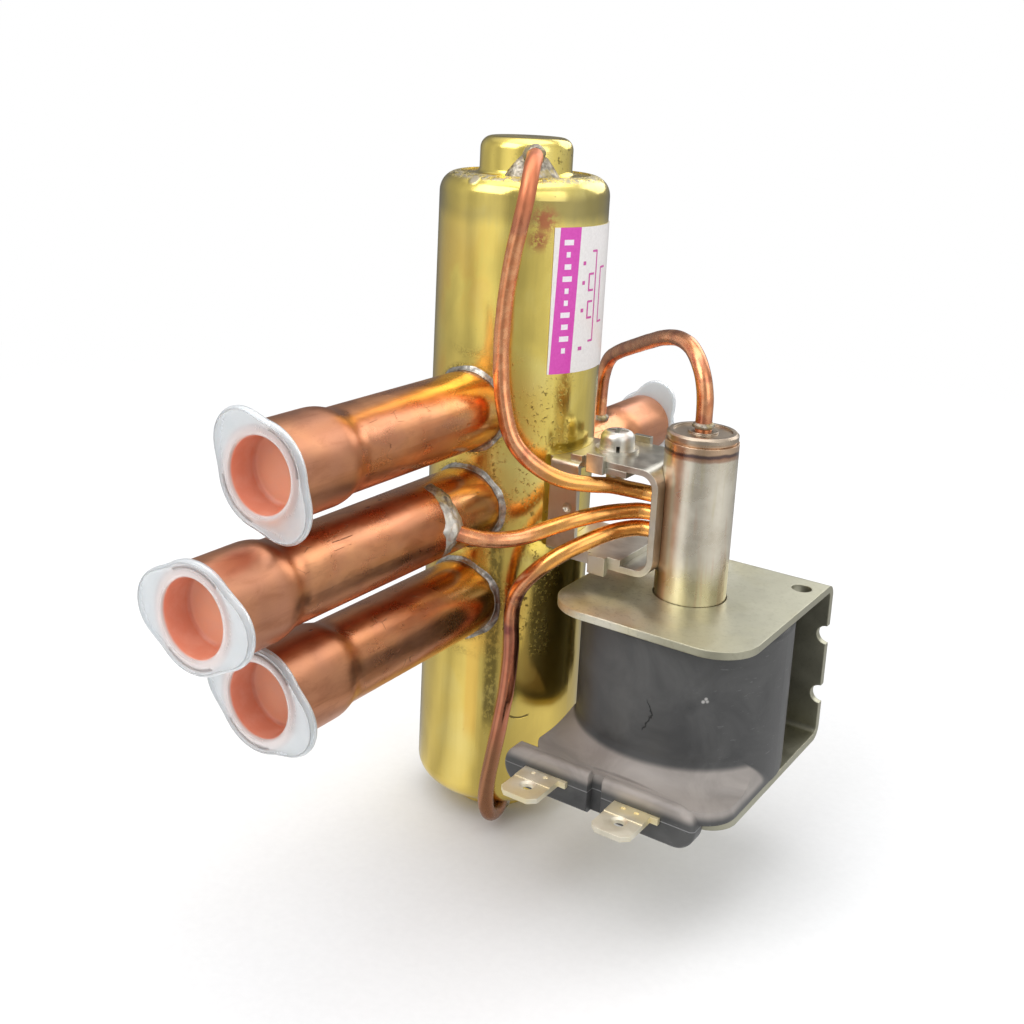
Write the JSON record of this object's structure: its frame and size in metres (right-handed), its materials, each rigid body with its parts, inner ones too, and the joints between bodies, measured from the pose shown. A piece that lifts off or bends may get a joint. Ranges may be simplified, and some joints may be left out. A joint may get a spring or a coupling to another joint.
{
  "type": "reversing valve",
  "caption": "Four-way refrigerant reversing valve: brass body, copper pipe stubs with dust caps, and a solenoid pilot valve on a bracket.",
  "frame": {"origin": "where the body's axis meets the suction pipe's axis", "axes": "+Z along the body, away from the coil's terminals; -Y along the three pipes; +X toward the pilot valve"},
  "size_m": [0.0649, 0.1236, 0.1153],
  "materials": {
    "brass_shell": "satin brass with heat tint and a fine grain",
    "copper_pipe": "bright drawn copper with heat tint near the brazes",
    "copper_capillary": "bright copper tube with darker heated stretches",
    "braze": "dull grey braze",
    "bracket_steel": "rolled stainless strip, bright",
    "plated_screws": "zinc plated",
    "pilot_steel": "drawn stainless tube with straw heat tint",
    "yoke_steel": "zinc plated sheet",
    "coil_moulding": "black filled moulding with flow marks",
    "terminal_tin": "tinned brass tab",
    "label_paper": "white film with a magenta band",
    "cap_plastic": "translucent soft plastic",
    "seat_brass": "machined brass",
    "slide_nylon": "natural nylon",
    "slide_steel": "stainless strip",
    "seal_ptfe": "white fluoroplastic",
    "winding_wire": "enamelled copper wire"
  },
  "bodies": {
    "body": {"body_tube": "brass_shell", "top_end_cap": "brass_shell", "bottom_end_cap": "brass_shell", "evaporator_pipe": "copper_pipe", "suction_pipe": "copper_pipe", "condenser_pipe": "copper_pipe", "discharge_pipe": "copper_pipe", "braze_rings": "braze", "top_capillary": "copper_capillary", "bottom_capillary": "copper_capillary", "suction_capillary": "copper_capillary", "discharge_capillary": "copper_capillary", "capillary_saddle": "braze", "body_bracket": "bracket_steel", "pilot_bracket": "bracket_steel", "bracket_screw": "plated_screws", "spring_washer": "plated_screws", "flat_washer": "plated_screws", "pilot_tube": "pilot_steel", "pilot_plug": "pilot_steel", "coil_yoke": "yoke_steel", "coil_body": "coil_moulding", "coil_terminals": "terminal_tin", "label": "label_paper", "valve_seat": "seat_brass", "pilot_seat": "seat_brass", "fixed_core": "pilot_steel", "coil_screw": "plated_screws", "coil_washer": "plated_screws", "coil_bobbin": "slide_nylon", "coil_winding": "winding_wire"},
    "slide": {"slide_block": "slide_nylon", "slide_frame": "slide_steel", "upper_piston": "slide_steel", "lower_piston": "slide_steel", "upper_seal": "seal_ptfe", "lower_seal": "seal_ptfe", "seal_retainers": "slide_steel", "piston_screws": "plated_screws"},
    "pilot_plunger": {"plunger": "pilot_steel", "pilot_slide": "slide_nylon", "slide_spring": "slide_steel", "plunger_spring": "slide_steel"},
    "evaporator_cap": {"evaporator_cap": "cap_plastic"},
    "suction_cap": {"suction_cap": "cap_plastic"},
    "condenser_cap": {"condenser_cap": "cap_plastic"},
    "discharge_cap": {"discharge_cap": "cap_plastic"}
  },
  "joints": [
    {"name": "main_slide", "type": "slide", "parent": "body", "child": "slide", "axis": [0, 0, 1], "range_m": [0, 0.016]},
    {"name": "pilot_plunger_slide", "type": "slide", "parent": "body", "child": "pilot_plunger", "axis": [0, 0, -1], "range_m": [0, 0.0029], "stiffness_N_per_m": 300, "springref_m": -0.003, "deforming": ["plunger_spring"]},
    {"name": "evaporator_cap_pull", "type": "slide", "parent": "body", "child": "evaporator_cap", "axis": [0, -1, 0], "range_m": [0, 0.05]},
    {"name": "suction_cap_pull", "type": "slide", "parent": "body", "child": "suction_cap", "axis": [0, -1, 0], "range_m": [0, 0.05]},
    {"name": "condenser_cap_pull", "type": "slide", "parent": "body", "child": "condenser_cap", "axis": [0, -1, 0], "range_m": [0, 0.05]},
    {"name": "discharge_cap_pull", "type": "slide", "parent": "body", "child": "discharge_cap", "axis": [0, 1, 0], "range_m": [0, 0.05]}
  ]
}
